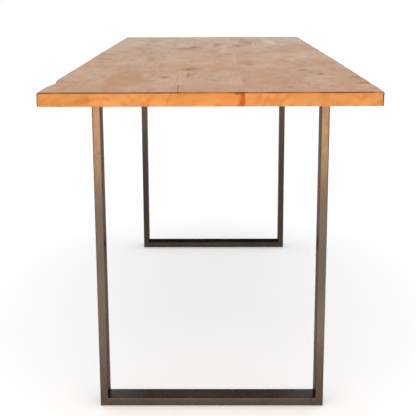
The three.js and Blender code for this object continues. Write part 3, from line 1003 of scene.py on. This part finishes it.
# ---- The top plates --------------------------------------------------------------------------
# A flat steel bar lies across the top of each frame under the slab. Its five slots run across the
# grain, so that the slab can swell and shrink past the bolts.

PLATE_ARRIS = 0.0006
ARRIS_STEPS = 3
FLAT_ANGLE = math.radians(1)
SHARP_ANGLE = math.radians(40)


def eased_copy(node, name):
    """The CAD node's own shape with its sharp edges eased."""
    mesh = bmesh.new()
    mesh.from_mesh(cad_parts[node].data)
    bmesh.ops.remove_doubles(mesh, verts=mesh.verts, dist=SAME_POINT)
    bmesh.ops.dissolve_limit(mesh, angle_limit=FLAT_ANGLE, verts=mesh.verts, edges=mesh.edges)
    bmesh.ops.bevel(
        mesh,
        geom=[edge for edge in mesh.edges if edge.calc_face_angle(0) > SHARP_ANGLE],
        offset=PLATE_ARRIS,
        offset_type="OFFSET",
        segments=ARRIS_STEPS,
        profile=0.5,
        affect="EDGES",
    )
    return piece_from(mesh, name)


for end in ("near", "far"):
    plate = eased_copy(f"{end}_top_plate", f"{end}_slotted_plate")
    dress(plate, crossways_patina[end])
    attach(plate, "root")
    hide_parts(f"{end}_top_plate")


# ---- The welds under the plates --------------------------------------------------------------
# One fillet weld a side joins the plate's underside to the upright's inner face. It is left as the
# torch laid it, in small ripples, and takes the patina with the rest.

FILLET_LEG = 0.0042
FILLET_LENGTH = 0.066
FILLET_SIDES = 6
FILLET_HOLLOW = 0.16
RIPPLE_PITCH = 0.0018
RIPPLE_RISE = 0.00035
RIPPLE_STATIONS = 5
BEAD_UNEVEN = 0.0003

# Where the bead starts to taper at its ends, as a part of its half length, and how fast.
TAPER_START = 0.94
TAPER_RATE = 9


def fillet(name, corner, inward):
    """A bead along Y in the corner under the plate. inward is the way along X into the frame."""
    rings = []
    steps = round(FILLET_LENGTH / RIPPLE_PITCH) * RIPPLE_STATIONS
    for i in range(steps + 1):
        t = -1 + 2 * i / steps
        y = corner.y + t * FILLET_LENGTH / 2
        ripple = RIPPLE_RISE * abs(math.sin(math.pi * i / RIPPLE_STATIONS))
        wobble = BEAD_UNEVEN * noise.noise(Vector((corner.x * 9, y * 160, 0)))
        taper = 1 - max(0, abs(t) - TAPER_START) * TAPER_RATE
        section = [(-WELD_BITE, WELD_BITE)]
        for turn in quarter_turn(FILLET_SIDES):
            leg = (FILLET_LEG + ripple + wobble) * taper * (1 - FILLET_HOLLOW * math.sin(2 * turn))
            section.append((leg * math.cos(turn), -leg * math.sin(turn)))
        section[1] = (section[1][0], WELD_BITE)
        section[-1] = (-WELD_BITE, section[-1][1])
        rings.append([(corner.x + inward * a, y, corner.z + b) for a, b in section])
    return skinned(name, rings)


for end in ("near", "far"):
    for side, name in ((-1, "left"), (1, "right")):
        low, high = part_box(f"{end}_{name}_upright")
        inner_x = high.x if side < 0 else low.x
        under_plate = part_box(f"{end}_top_plate")[0].z
        bead = fillet(
            f"{end}_{name}_plate_weld", Vector((inner_x, (low.y + high.y) / 2, under_plate)), -side
        )
        dress(bead, crossways_patina[end], 60)
        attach(bead, "root")


# ---- The washers -----------------------------------------------------------------------------
# A wide zinc-plated washer under each bolt's head covers the plate's slot. It was punched from sheet,
# so its edges are a little round.

zinc_finish = Finish("zinc_plate")
zinc_place = zinc_finish.place()
zinc_cloud = zinc_finish.step(zinc_finish.noise(zinc_place, (420, 420, 420), 3, 0.6), 0.35, 0.7)
zinc_scuff = zinc_finish.noise(zinc_place, (2600, 300, 900), 2, 0.5)
zinc_finish.surface(
    Base_Color=zinc_finish.mix(zinc_cloud, (0.50, 0.51, 0.52, 1), (0.62, 0.62, 0.60, 1)),
    Roughness=zinc_finish.step(zinc_scuff, 0.3, 0.75, 0.26, 0.46),
    Metallic=1,
)
zinc_finish.bump(zinc_scuff, 0.10, 0.0002)

WASHER_EDGE = 0.0004
WASHER_HOLE = 0.0042


def circle(centre, radius, z, sides=ROUND_SIDES, turn=0):
    """A level ring of points."""
    return [
        (
            centre.x + radius * math.cos(turn + math.tau * k / sides),
            centre.y + radius * math.sin(turn + math.tau * k / sides),
            z,
        )
        for k in range(sides)
    ]


def tyre(name, centre, profile):
    """A ring turned from a closed profile of (radius, z)."""
    hoops = [circle(centre, radius, z) for radius, z in profile]
    return rope(name, list(zip(*hoops)))


for node in sorted(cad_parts):
    if "_washer_" in node:
        low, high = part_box(node)
        centre = (low + high) / 2
        rim = (high.x - low.x) / 2
        edge = WASHER_EDGE
        washer = tyre(node + "_punched", centre, [
            (WASHER_HOLE + edge, low.z),
            (rim - edge, low.z),
            (rim - 0.3 * edge, low.z + 0.3 * edge),
            (rim, low.z + edge),
            (rim, high.z - edge / 2),
            (rim - edge / 2, high.z),
            (WASHER_HOLE + edge / 2, high.z),
            (WASHER_HOLE, high.z - edge / 2),
            (WASHER_HOLE, low.z + edge),
            (WASHER_HOLE + 0.3 * edge, low.z + 0.3 * edge),
        ])
        dress(washer, zinc_finish.material, 40)
        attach(washer, "root")
        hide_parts(node)


# ---- The bolts -------------------------------------------------------------------------------
# Zinc-plated hexagon bolts go up through the washers and the plates' slots into the inserts. A head
# is cold forged, with its corners turned back by a chamfer, and its thread is rolled.

BOLT_SIDES = 36
CHAMFER = math.tan(math.radians(28))
THREAD_PITCH = 0.00125
THREAD_DEPTH = 0.00065
THREAD_ROOT = 0.45
THREAD_CREST = 0.94
SHANK_RADIUS = 0.004
PLAIN_SHANK = 0.003
POINT_LENGTH = 0.001

# The head's lower face is flat out to HEAD_FACE, with a shallow dish in its middle. The corners above
# it are eased where they meet the washer.
HEAD_FACE = 0.0060
DISH_RIM = 0.0047
DISH_FLOOR = 0.0042
DISH_DEPTH = 0.0004
HEAD_EASE = 0.0002


def hexagon(centre, flat, z, turn, slope=0):
    """A hexagon of BOLT_SIDES points. flat is from its middle to a side, and the slope lifts its
    points as they go out past the head's face."""
    points = []
    for k in range(BOLT_SIDES):
        around = math.tau * k / BOLT_SIDES
        from_flat = (around + math.radians(30)) % math.radians(60) - math.radians(30)
        radius = flat / math.cos(from_flat)
        points.append((
            centre.x + radius * math.cos(around + turn),
            centre.y + radius * math.sin(around + turn),
            z + (radius - HEAD_FACE) * slope,
        ))
    return points


def bolt(name, low, high, head_top, turn):
    """One bolt, head down, as a single closed mesh."""
    centre = (low + high) / 2
    flat = min(high.x - low.x, high.y - low.y) / 2
    thread_top = high.z - POINT_LENGTH
    threads = int((thread_top - head_top - PLAIN_SHANK) / THREAD_PITCH)
    start = thread_top - threads * THREAD_PITCH
    head = [(DISH_FLOOR, low.z + DISH_DEPTH), (DISH_RIM, low.z), (HEAD_FACE, low.z)]
    shank = [(SHANK_RADIUS, head_top), (SHANK_RADIUS, start)]
    for i in range(threads):
        bottom = start + i * THREAD_PITCH
        shank.append((SHANK_RADIUS - THREAD_DEPTH, bottom + THREAD_PITCH * THREAD_ROOT))
        shank.append((SHANK_RADIUS, bottom + THREAD_PITCH * THREAD_CREST))
        shank.append((SHANK_RADIUS, bottom + THREAD_PITCH))
    shank.append((SHANK_RADIUS - THREAD_DEPTH, high.z))
    rings = [circle(centre, radius, z, BOLT_SIDES, turn) for radius, z in head]
    rings.append(hexagon(centre, flat, low.z, turn, CHAMFER))
    rings.append(hexagon(centre, flat, head_top - HEAD_EASE, turn))
    rings.append(hexagon(centre, flat - HEAD_EASE, head_top, turn))
    rings += [circle(centre, radius, z, BOLT_SIDES, turn) for radius, z in shank]
    return skinned(name, rings)


for count, node in enumerate(sorted(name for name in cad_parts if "_bolt_" in name)):
    low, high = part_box(node)
    washer_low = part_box(node.replace("_bolt_", "_washer_"))[0]
    screw = bolt(node + "_hexagon", low, high, washer_low.z, math.radians(17 * count % 60))
    dress(screw, zinc_finish.material, 25)
    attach(screw, "root")
    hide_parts(node)


# ---- The glides ------------------------------------------------------------------------------
# A thin disc of black nylon is stuck under each end of the floor rails. Its lower edge is round, so
# that it slides without catching.

nylon_finish = Finish("black_nylon")
nylon_place = nylon_finish.place()
nylon_grain = nylon_finish.noise(nylon_place, (1400, 1400, 1400), 3, 0.6)
nylon_rub = nylon_finish.noise(nylon_place, (90, 90, 90), 3, 0.6)
nylon_worn = nylon_finish.step(nylon_rub, 0.4, 0.7)
nylon_finish.surface(
    Base_Color=nylon_finish.mix(nylon_worn, (0.030, 0.030, 0.031, 1), (0.052, 0.051, 0.050, 1)),
    Roughness=nylon_finish.step(nylon_rub, 0.3, 0.7, 0.5, 0.7),
)
nylon_finish.bump(nylon_grain, 0.25, 0.0003)

GLIDE_EDGE = 0.0008
GLIDE_EDGE_STEPS = 4
GLIDE_TOP_EASE = 0.0002
GLIDE_SIDES = 64

for node in sorted(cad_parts):
    if node.endswith("_glide"):
        low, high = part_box(node)
        centre = (low + high) / 2
        rim = (high.x - low.x) / 2
        levels = [(rim / 2, low.z)]
        for turn in quarter_turn(GLIDE_EDGE_STEPS):
            inward = GLIDE_EDGE * (1 - math.sin(turn))
            levels.append((rim - inward, low.z + GLIDE_EDGE * (1 - math.cos(turn))))
        levels.append((rim, high.z - GLIDE_TOP_EASE))
        levels.append((rim - GLIDE_TOP_EASE, high.z))
        hoops = [circle(centre, radius, z, GLIDE_SIDES) for radius, z in levels]
        glide = skinned(node + "_disc", hoops)
        dress(glide, nylon_finish.material, 40)
        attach(glide, "root")
        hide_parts(node)


# ---- The room --------------------------------------------------------------------------------
# A white floor under an even, bright sky, with one warm lamp low down past the near end. The floor
# gives a little light of its own, which keeps it pale under the table.

FLOOR_HALF = 30.0
floor_mesh = bmesh.new()
bmesh.ops.create_grid(floor_mesh, x_segments=2, y_segments=2, size=FLOOR_HALF)
floor = piece_from(floor_mesh, "floor")
floor_finish = Finish("white_floor")
floor_finish.surface(
    Base_Color=(0.82, 0.845, 0.875, 1),
    Roughness=0.85,
    Specular_IOR_Level=0.1,
    Emission_Color=(1, 1, 1, 1),
    Emission_Strength=0.25,
)
floor.data.materials.append(floor_finish.material)
floor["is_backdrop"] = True

world = bpy.data.worlds.new("sky")
bpy.context.scene.world = world
world.use_nodes = True
sky = world.node_tree.nodes["Background"]
sky.inputs["Color"].default_value = (1, 1, 1, 1)
sky.inputs["Strength"].default_value = 1.0

lamp_data = bpy.data.lights.new("warm_lamp", "AREA")
lamp_data.shape = "RECTANGLE"
lamp_data.size = 1.30
lamp_data.size_y = 0.58
lamp_data.energy = 7.3
lamp_data.color = (1.0, 0.56, 0.20)
lamp = bpy.data.objects.new("warm_lamp", lamp_data)
lamp.location = (0.0, -2.05, 0.86)
lamp.rotation_euler = (math.radians(90), 0, 0)
lamp.visible_camera = False
bpy.context.scene.collection.objects.link(lamp)

bpy.context.scene.view_settings.view_transform = "Standard"


# ---- The camera ------------------------------------------------------------------------------
# It stands past the near end, a little above the top, and looks along the table and slightly down
# through a long lens. Its turn, its dip and its roll are in degrees.

CAMERA_PLACE = (0.0183, -3.8584, 1.3211)
CAMERA_TURN = 0.548
CAMERA_DIP = 13.131
CAMERA_ROLL = -0.22

camera_data = bpy.data.cameras.new("camera")
camera_data.sensor_width = 36
camera_data.lens = 83.6
camera = bpy.data.objects.new("camera", camera_data)
camera.matrix_world = (
    Matrix.Translation(CAMERA_PLACE)
    @ Matrix.Rotation(math.radians(CAMERA_TURN), 4, "Z")
    @ Matrix.Rotation(math.radians(90 - CAMERA_DIP), 4, "X")
    @ Matrix.Rotation(math.radians(CAMERA_ROLL), 4, "Z")
)
bpy.context.scene.collection.objects.link(camera)
bpy.context.scene.camera = camera


low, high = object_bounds()
